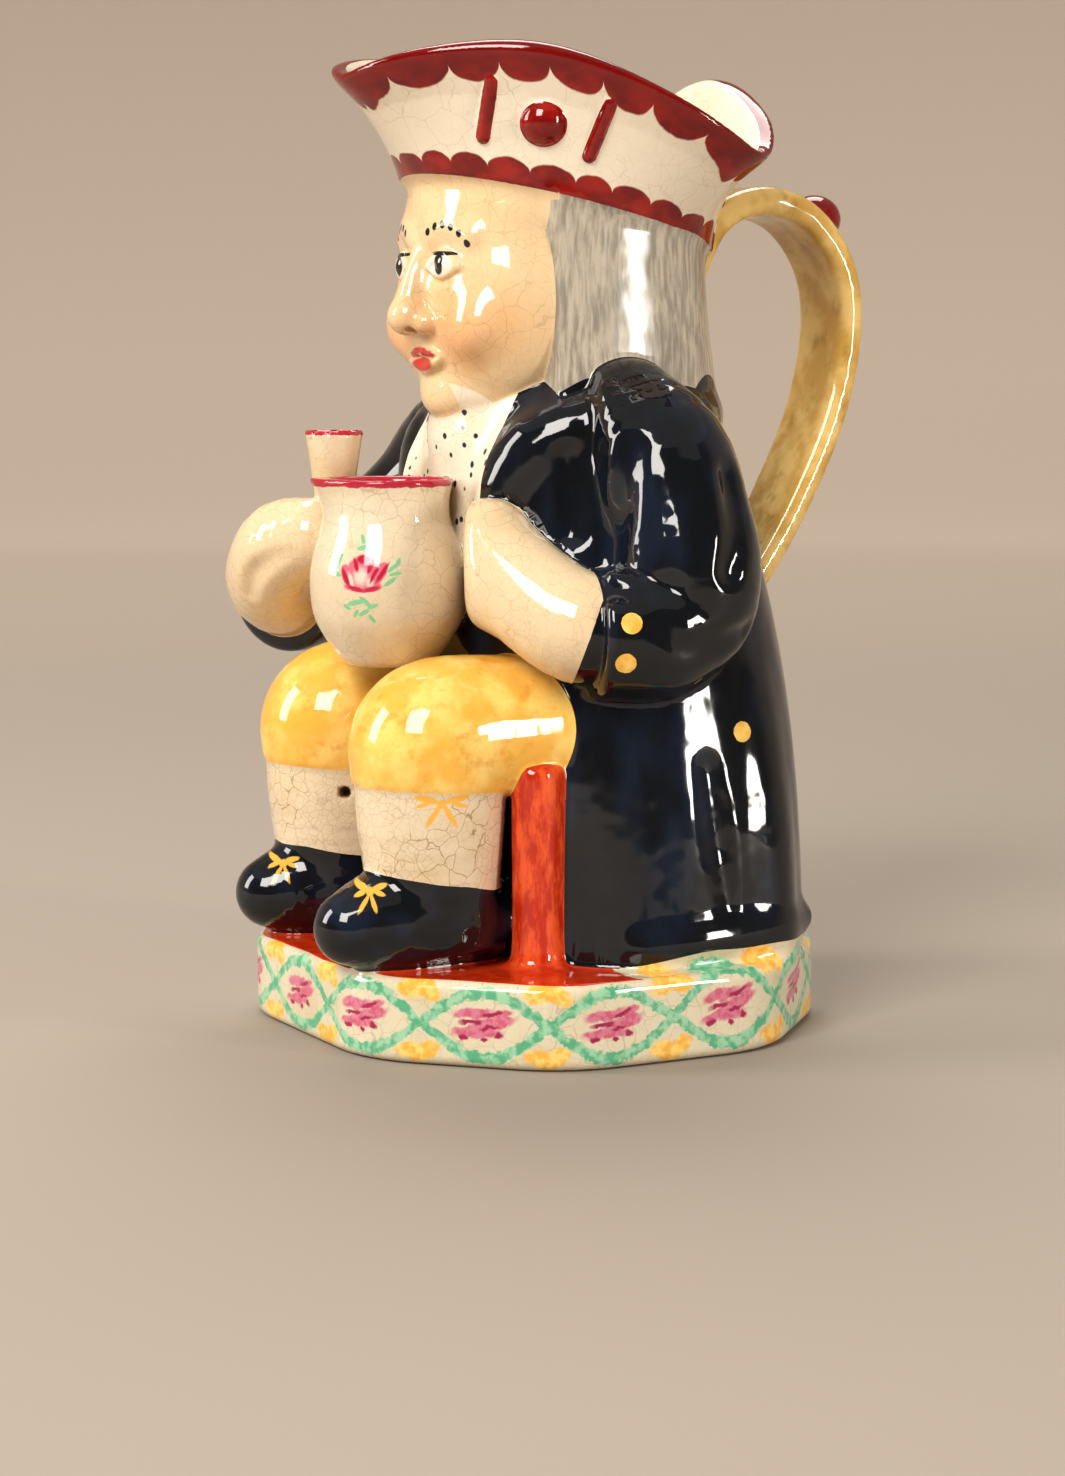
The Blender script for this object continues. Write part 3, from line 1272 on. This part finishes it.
# Middles of the painted bows across the view and up, and each bow's strokes about its middle
SHOE_BOWS = [(-33.6, 35.6), (-54.8, 34.6)]
SHOE_BOW = [
    (0, 0, 0.9, 0.8, 0), (-1.9, 0.9, 1.7, 0.6, -26), (1.9, 0.8, 1.7, 0.6, 18),
    (-2.0, -0.3, 1.4, 0.45, 26), (2.0, -0.3, 1.3, 0.4, -20),
    (-1.2, -2.3, 2.1, 0.5, 60), (0.9, -2.2, 1.9, 0.45, -70),
]
GARTERS = [(-18.6, 54.6)]
GARTER_BOW = [
    (0, -0.4, 1.0, 1.0, 0), (-3.0, 0.5, 2.7, 0.75, -14), (3.0, 0.5, 2.7, 0.75, 14),
    (-3.6, -0.5, 2.0, 0.5, 20), (3.4, -0.6, 2.0, 0.5, -18),
    (-1.8, -3.0, 2.8, 0.6, 58), (1.7, -3.0, 2.8, 0.6, -62),
]


def bows(g, middles, bow):
    """One where the strokes of a bow are, laid out as seen from in front of the figure's left."""
    flat = g.shaken(g.together(g.across_view(), g.z), 2, 0.3)
    strokes = [(x + across, z + up, *shape) for x, z in middles for across, up, *shape in bow]
    return g.daubs(flat, strokes, 0.2)


def shoe_glaze():
    g = Glaze("shoe", 0.06)
    front = g.span(g.y, LEG_Y - 10, LEG_Y - 8, 1.0, 0.0)
    bow = g.math("MULTIPLY", bows(g, SHOE_BOWS, SHOE_BOW), front)
    dark = g.tinted(BLACK, NAVY, 9, 0.45, 0.75)
    return g.finished(g.mix(bow, dark, YELLOW), 0.012)


def hand_glaze():
    g = Glaze("hand")
    return g.finished(g.crazed(g.tinted(HAND_CREAM, CREAM_WARM, 18, 0.45, 0.85), 4.6, 0.45), 0.015)


def breeches_glaze():
    g = Glaze("breeches")
    mottle = g.tinted(YELLOW, YELLOW_LIGHT, 9, 0.38, 0.66, detail=4.0)
    deep = g.span(g.noise(5, detail=4.0, rough=0.6), 0.52, 0.72, 0.0, 0.6)
    return g.finished(g.crazed(g.mix(deep, mottle, YELLOW_DEEP), 5, 0.12), 0.015)


def stocking_glaze():
    g = Glaze("stocking")
    ground = g.crazed(g.tinted(STOCKING_CREAM, CREAM_WARM, 16, 0.45, 0.85), 4.0, 0.85)
    return g.finished(g.mix(bows(g, GARTERS, GARTER_BOW), ground, YELLOW), 0.02)


def red_glaze():
    g = Glaze("red")
    brushed = g.noise(2.6, (1, 1, 3.2), 4.0, rough=0.6)
    flat_place = g.span(g.z, 17.0, 20.5)
    upright_red = g.mix(g.span(brushed, 0.4, 0.64), RUST, ORANGE_RED)
    ground_red = g.tinted(GROUND_RED, GROUND_ORANGE, 6, 0.4, 0.7, (1.6, 0.8, 1))
    return g.finished(g.mix(flat_place, ground_red, upright_red), 0.02)


TRELLIS_MIDDLE, TRELLIS_SWING, TRELLIS_WIDTH = 9.3, 6.9, 1.25
REPEAT_LONG = 26.0


def base_glaze():
    g = Glaze("base")
    ground = g.crazed(g.tinted(PLINTH_PALE, PLINTH_WARM, 16, 0.45, 0.8), 5.0, 0.4)
    along = g.attribute("round_plinth")
    tall = g.span(g.y, HEM_FRONT, HEM_BACK, BASE["height"], HEM_HIGH - 0.4)
    height = g.math("MULTIPLY", g.math("DIVIDE", g.z, tall), BASE["height"])
    drawn = g.shaken(g.together(g.math("MULTIPLY", along, REPEAT_LONG), height), 5.0, 0.9)
    across, up, _ = g.apart(drawn)
    swing = g.math("ABSOLUTE", g.math("SINE", g.math("MULTIPLY", across, math.pi / REPEAT_LONG)))
    off_middle = g.math("ABSOLUTE", g.math("SUBTRACT", up, TRELLIS_MIDDLE))
    off_line = g.math("ABSOLUTE", g.math("MULTIPLY_ADD", swing, -TRELLIS_SWING, off_middle))
    leafy = g.math("MULTIPLY_ADD", g.noise(1.5, detail=3.0, rough=0.65), 2.6, -1.3)
    garland = g.span(g.math("ADD", off_line, leafy), TRELLIS_WIDTH - 0.25, TRELLIS_WIDTH + 0.25, 1.0, 0.0)
    green = g.mix(g.span(g.noise(2.2, detail=3.0), 0.40, 0.62), GREEN, GREEN_PALE)
    within = g.math("MULTIPLY", g.math("FRACT", g.math("DIVIDE", across, REPEAT_LONG)), REPEAT_LONG)
    flat = g.together(within, up)
    ragged = g.shaken(flat, 2.0, 0.9)
    half = REPEAT_LONG / 2
    middle = TRELLIS_MIDDLE
    rose = g.daubs(ragged, [
        (half - 2.0, middle + 2.3, 4.4, 1.2, 8), (half + 1.8, middle + 0.5, 4.8, 1.3, 14),
        (half - 1.6, middle - 1.6, 5.2, 1.2, 4), (half + 3.6, middle + 2.6, 2.0, 1.0, 30),
    ], 0.25)
    marks = g.daubs(g.shaken(flat, 1.4, 0.8), [
        (half - 4.2, middle - 2.7, 1.1, 0.7, 0), (half, middle - 3.0, 0.8, 0.7, 0),
        (half + 3.0, middle - 2.0, 0.9, 0.7, 20), (half - 2.6, middle + 0.4, 2.2, 0.5, 10),
        (half + 1.9, middle + 2.5, 2.1, 0.5, 15), (half + 1, middle - 0.5, 1.8, 0.4, 8),
    ], 0.3)
    buds = []
    for start in (0.0, REPEAT_LONG):
        buds += [(start - 1.6, 16.7, 3.4, 2.3, 20), (start + 1.9, 15.8, 2.8, 2.0, -25)]
        buds += [(start - 1.4, 2.7, 3.4, 2.1, -15), (start + 2.0, 3.4, 2.6, 1.9, 30)]
    yellow = g.mix(g.span(g.noise(1.8), 0.4, 0.62), YELLOW, YELLOW_LIGHT)
    colour = g.mix(g.daubs(ragged, buds, 0.2), ground, yellow)
    colour = g.mix(garland, colour, green)
    colour = g.mix(rose, colour, g.mix(g.span(g.noise(1.3, detail=3.0), 0.42, 0.6), PINK, PLINTH_ROSE))
    colour = g.mix(marks, colour, CRIMSON)
    wall = g.span(g.z, 0.2, 0.9)
    return g.finished(g.mix(wall, BARE_CLAY, colour), 0.012)


def handle_glaze():
    g = Glaze("handle")
    mottle = g.tinted(OCHRE, OCHRE_LIGHT, 7, 0.36, 0.62, detail=4.0)
    dark = g.span(g.noise(4, (1, 1, 1.5), 4.0, rough=0.6), 0.52, 0.76, 0.0, 0.6)
    return g.finished(g.mix(dark, mottle, OCHRE_DARK), 0.02)


def thumb_glaze():
    g = Glaze("thumb")
    return g.finished(g.tinted(DEEP_RED, THUMB_RED, 4), 0.01)


ROSE = dict(turn=math.radians(-44.6), z=99.9)


def jug_glaze():
    g = Glaze("jug")
    ground = g.crazed(g.tinted(GREY_CREAM, JUG_PALE, 18, 0.35, 0.7), 4.6, 0.42)
    from_axis = g.vector("SUBTRACT", g.place, (LITTLE_JUG["x"], LITTLE_JUG["y"], ROSE["z"]))
    tangent = (-math.sin(ROSE["turn"]), math.cos(ROSE["turn"]), 0)
    outward = (math.cos(ROSE["turn"]), math.sin(ROSE["turn"]), 0)
    across = g.vector("DOT_PRODUCT", from_axis, tangent)
    facing = g.span(g.vector("DOT_PRODUCT", from_axis, outward), 4.0, 5.0)
    flat = g.together(across, g.math("SUBTRACT", g.z, ROSE["z"]))
    soft_flat = g.shaken(flat, 1.6, 0.22)
    green = [
        (-0.2, 5.6, 1.5, 0.5, 8), (0.9, 6.6, 1.2, 0.45, 60),
        (-0.6, 7.3, 1.1, 0.45, 110), (1.6, 5.4, 1.2, 0.4, 20),
        (-5.7, 2.6, 1.4, 0.45, 70), (-6.6, 1.2, 1.0, 0.4, 20),
        (-6.0, 0.0, 1.2, 0.45, -20), (-5.4, 3.8, 0.7, 0.35, 30),
        (6.4, 1.6, 1.5, 0.45, 40), (6.8, 0.2, 1.2, 0.4, 10),
        (5.8, -1.4, 1.5, 0.45, 35), (7.2, 2.8, 0.8, 0.4, 80),
        (0.6, -5.6, 1.7, 0.5, -40), (-1.6, -5.9, 2.0, 0.6, 12),
        (-3.6, -6.9, 1.0, 0.45, -30), (2.2, -6.6, 1.2, 0.5, 20),
        (0.2, -8.0, 1.4, 0.5, 30), (1.8, -9.2, 1.0, 0.45, -50), (-1.6, -8.2, 1.0, 0.45, 60),
    ]
    petals = [
        (0, 0.6, 3.6, 3.4, 0), (-3.4, -0.4, 1.4, 2.6, 25), (3.5, 0.1, 1.3, 2.8, -28), (0, -2.4, 4.2, 1.4, 0),
    ]
    dark = [
        (0, 3.2, 1.5, 0.9, 0), (-1.6, 2.0, 0.5, 1.6, 20),
        (1.7, 1.8, 0.5, 1.7, -20), (-3.9, -0.6, 0.55, 2.2, 25),
        (4.2, 0.4, 0.5, 2.4, -30), (2.6, 0.2, 0.4, 2.2, -24),
        (-1.5, -3.0, 2.0, 0.5, -12), (1.9, -3.0, 1.9, 0.5, 14),
    ]
    light = [(-0.4, -0.4, 1.5, 1.7, 0), (-2.6, -1.2, 0.5, 1.5, 20), (1.6, -1.6, 0.8, 0.9, 0)]
    colour = ground
    layers = [(green, 0.2, LEAF), (petals, 0.1, PETAL), (light, 0.6, PETAL_LIGHT), (dark, 0.3, PETAL_DARK)]
    for strokes, soft, paint in layers:
        colour = g.mix(g.math("MULTIPLY", g.daubs(soft_flat, strokes, soft), facing), colour, paint)
    line = g.math("MULTIPLY_ADD", g.noise(3.0), 1.2, LITTLE_JUG["rim"] - 2.2)
    rim = g.span(g.math("SUBTRACT", g.z, line), -0.15, 0.15)
    return g.finished(g.mix(rim, colour, LINE_CRIMSON), 0.015)


def beaker_glaze():
    g = Glaze("beaker")
    ground = g.crazed(g.tinted(CREAM, CREAM_WARM, 12), 4, 0.3)
    line = g.math("MULTIPLY_ADD", g.noise(2.0), 1.2, BEAKER["top"] - 1.5)
    rim = g.span(g.math("SUBTRACT", g.z, line), -0.12, 0.12)
    return g.finished(g.mix(rim, ground, LINE_CRIMSON), 0.01)


def button_glaze():
    g = Glaze("button")
    return g.finished(g.tinted(YELLOW, YELLOW_LIGHT, 3), 0.0)


def inside_glaze():
    g = Glaze("inside")
    return g.finished(g.crazed(g.tinted(IVORY, IVORY_WARM, 30, 0.45, 0.8), 7, 0.3), 0.015)


GLAZES = dict(
    base=base_glaze, red=red_glaze, coat=coat_glaze, stocking=stocking_glaze, breeches=breeches_glaze,
    shoe=shoe_glaze, hair=hair_glaze, face=face_glaze, cloth=cloth_glaze, hand=hand_glaze, jug=jug_glaze,
    beaker=beaker_glaze, hat=hat_glaze, boss=boss_glaze, handle=handle_glaze, thumb=thumb_glaze,
    button=button_glaze, inside=inside_glaze,
)

# The piece itself

GRID = 1.0
GRID_MARGIN = 3.0
KEPT_TRIANGLES = 140000
# Where the mesh is refined before painting, and the longest edge left there
FACE_ROOM = dict(half=25, back=-13, low=133, high=178, edge=0.5)
BUTTON_GAPS, BUTTON_EDGE = (6, 3.5, 2), 0.7
PLINTH_TOP = dict(low=13, high=20, edge=2.0)


def sculpted():
    low = np.array(cad_box[0]) / MM - GRID_MARGIN
    high = np.array(cad_box[1]) / MM + GRID_MARGIN
    shape = tuple(np.ceil((high - low) / GRID).astype(int))
    points, quads = surface_net(grid_field(low, shape, GRID), low, GRID)
    points = settle(points, 2)
    points, triangles = thinned(points, triangles_of(points, quads), KEPT_TRIANGLES)
    x, y, z = points.T
    on_face_room = (y < FACE_ROOM["back"]) & (np.abs(x) < FACE_ROOM["half"])
    on_face_room &= (z > FACE_ROOM["low"]) & (z < FACE_ROOM["high"])
    points, triangles = refined(points, triangles, on_face_room, FACE_ROOM["edge"])
    for gap in BUTTON_GAPS:
        points, triangles = refined(points, triangles, on_button(points) < gap, BUTTON_EDGE)
        on_top = (points[:, 2] > PLINTH_TOP["low"]) & (points[:, 2] < PLINTH_TOP["high"])
        points, triangles = refined(points, triangles, on_top, PLINTH_TOP["edge"])
    return points, triangles


def make_piece():
    points, triangles, labels = painted(*sculpted())
    mesh = bpy.data.meshes.new("toby_jug_glazed")
    mesh.from_pydata((points * MM).tolist(), [], triangles.tolist())
    for name in PAINTS:
        mesh.materials.append(GLAZES[name]())
    mesh.polygons.foreach_set("material_index", labels.astype(np.int32))
    below, above = hat_marks(points)
    for name, values in (("below_rim", below), ("above_band", above)):
        mesh.attributes.new(name, "FLOAT", "POINT").data.foreach_set("value", values.astype(np.float32))
    around = round_plinth(points, triangles).astype(np.float32)
    mesh.attributes.new("round_plinth", "FLOAT", "CORNER").data.foreach_set("value", around.ravel())
    mesh.polygons.foreach_set("use_smooth", np.ones(len(triangles), bool))
    normals = slope_of(points)
    normals /= np.linalg.norm(normals, axis=1)[:, None] + 1e-9
    mesh.normals_split_custom_set_from_vertices(normals.tolist())
    piece = bpy.data.objects.new("toby_jug_glazed", mesh)
    bpy.context.collection.objects.link(piece)
    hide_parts("toby_jug")
    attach(piece, "root")


make_piece()

# Studio, in metres: a pale round bowl of a floor, four soft lights, and a camera in front of the figure's left

FLOOR_COLOUR, WALL_COLOUR, SHADE_COLOUR = (0.31, 0.262, 0.215), (0.56, 0.47, 0.385), (0.12, 0.105, 0.09)
# Where the bowl's wall darkens towards the camera and where floor turns to wall, in millimetres
SHADE_SIDE = (-300.0, 900.0)
FLOOR_SIDE = (500.0, 2000.0)
BOWL_RINGS, BOWL_SIDES = 60, 96
BOWL = [(0, 0), (1.3, 0), (1.6, 0.03), (1.9, 0.13), (2.15, 0.34), (2.3, 0.65), (2.35, 1.2), (2.35, 2.2)]
# Turn and height in degrees, how far away, width, height and watts of each light
LIGHTS = dict(
    front=(37, 36, 1.5, 0.6, 0.7, 23),
    left=(-26, 22, 1.4, 0.4, 0.8, 13),
    right=(119, 8, 1.4, 0.16, 0.5, 9),
    top=(242, 58, 1.9, 1.2, 1.0, 26),
)
LIGHT_COLOUR, LIGHT_TARGET = (1, 0.96, 0.9), (0, 0, 0.1)
SKY_COLOUR, SKY_STRENGTH = (1.0, 0.94, 0.87, 1), 0.33
CAMERA_AWAY, CAMERA_UP = 0.713, 0.148
# The lens and the camera's downward tilt, from pixels of a frame this tall
FRAME_TALL, FOCAL_PIXELS, TILT_PIXELS = 1476, 3242, 394.5
CAMERA_DROP = math.atan(TILT_PIXELS / FOCAL_PIXELS)
SENSOR_TALL = 36


def make_bowl():
    line = resample(BOWL, BOWL_RINGS)
    sides = BOWL_SIDES
    turns = np.linspace(0, TWO_PI, sides, endpoint=False)
    spots = [(r * math.cos(t), r * math.sin(t), z) for r, z in line for t in turns]
    faces = []
    for k in range(len(line) - 1):
        for j in range(sides):
            n = (j + 1) % sides
            faces.append((k * sides + j, k * sides + n, (k + 1) * sides + n, (k + 1) * sides + j))
    mesh = bpy.data.meshes.new("floor")
    mesh.from_pydata(spots, [], faces)
    mesh.polygons.foreach_set("use_smooth", np.ones(len(faces), bool))
    g = Glaze("floor", 0.8)
    towards = g.vector("DOT_PRODUCT", g.place, (math.sin(CAMERA_TURN), -math.cos(CAMERA_TURN), 0))
    shade = g.span(towards, *SHADE_SIDE)
    wall = g.mix(shade, WALL_COLOUR, SHADE_COLOUR)
    away = g.vector("LENGTH", g.vector("MULTIPLY", g.place, (1, 1, 0)))
    mesh.materials.append(g.finished(g.mix(g.span(away, *FLOOR_SIDE), FLOOR_COLOUR, wall), 0))
    floor = bpy.data.objects.new("floor", mesh)
    bpy.context.collection.objects.link(floor)


def direction(turn, up):
    """The way from the middle of the scene towards a place at that turn and height, both in degrees."""
    turn, up = math.radians(turn), math.radians(up)
    return np.array([math.sin(turn) * math.cos(up), -math.cos(turn) * math.cos(up), math.sin(up)])


def aimed(thing, place, target):
    thing.location = place
    way = Vector(target) - Vector(place)
    thing.rotation_euler = way.to_track_quat("-Z", "Y").to_euler()


def soft_light(name, turn, up, away, wide, tall, watts):
    light = bpy.data.lights.new(name, "AREA")
    light.shape = "RECTANGLE"
    light.size, light.size_y = wide, tall
    light.energy = watts
    light.color = LIGHT_COLOUR
    lamp = bpy.data.objects.new(name, light)
    bpy.context.collection.objects.link(lamp)
    target = np.array(LIGHT_TARGET)
    aimed(lamp, target + away * direction(turn, up), target)


def make_studio():
    make_bowl()
    for name, settings in LIGHTS.items():
        soft_light(name, *settings)
    world = bpy.data.worlds.new("studio")
    world.use_nodes = True
    sky = world.node_tree.nodes["Background"]
    sky.inputs["Color"].default_value = SKY_COLOUR
    sky.inputs["Strength"].default_value = SKY_STRENGTH
    bpy.context.scene.world = world
    bpy.context.scene.view_settings.view_transform = "Standard"


def make_camera():
    lens = bpy.data.cameras.new("camera")
    lens.sensor_fit = "VERTICAL"
    lens.sensor_height = SENSOR_TALL
    lens.lens = SENSOR_TALL * FOCAL_PIXELS / FRAME_TALL
    lens.clip_start = 0.01
    camera = bpy.data.objects.new("camera", lens)
    bpy.context.collection.objects.link(camera)
    back = np.array([math.sin(CAMERA_TURN), -math.cos(CAMERA_TURN), 0])
    place = back * CAMERA_AWAY + np.array([0, 0, CAMERA_UP])
    target = place - back * math.cos(CAMERA_DROP) - np.array([0, 0, math.sin(CAMERA_DROP)])
    aimed(camera, place, target)
    bpy.context.scene.camera = camera


make_studio()
make_camera()
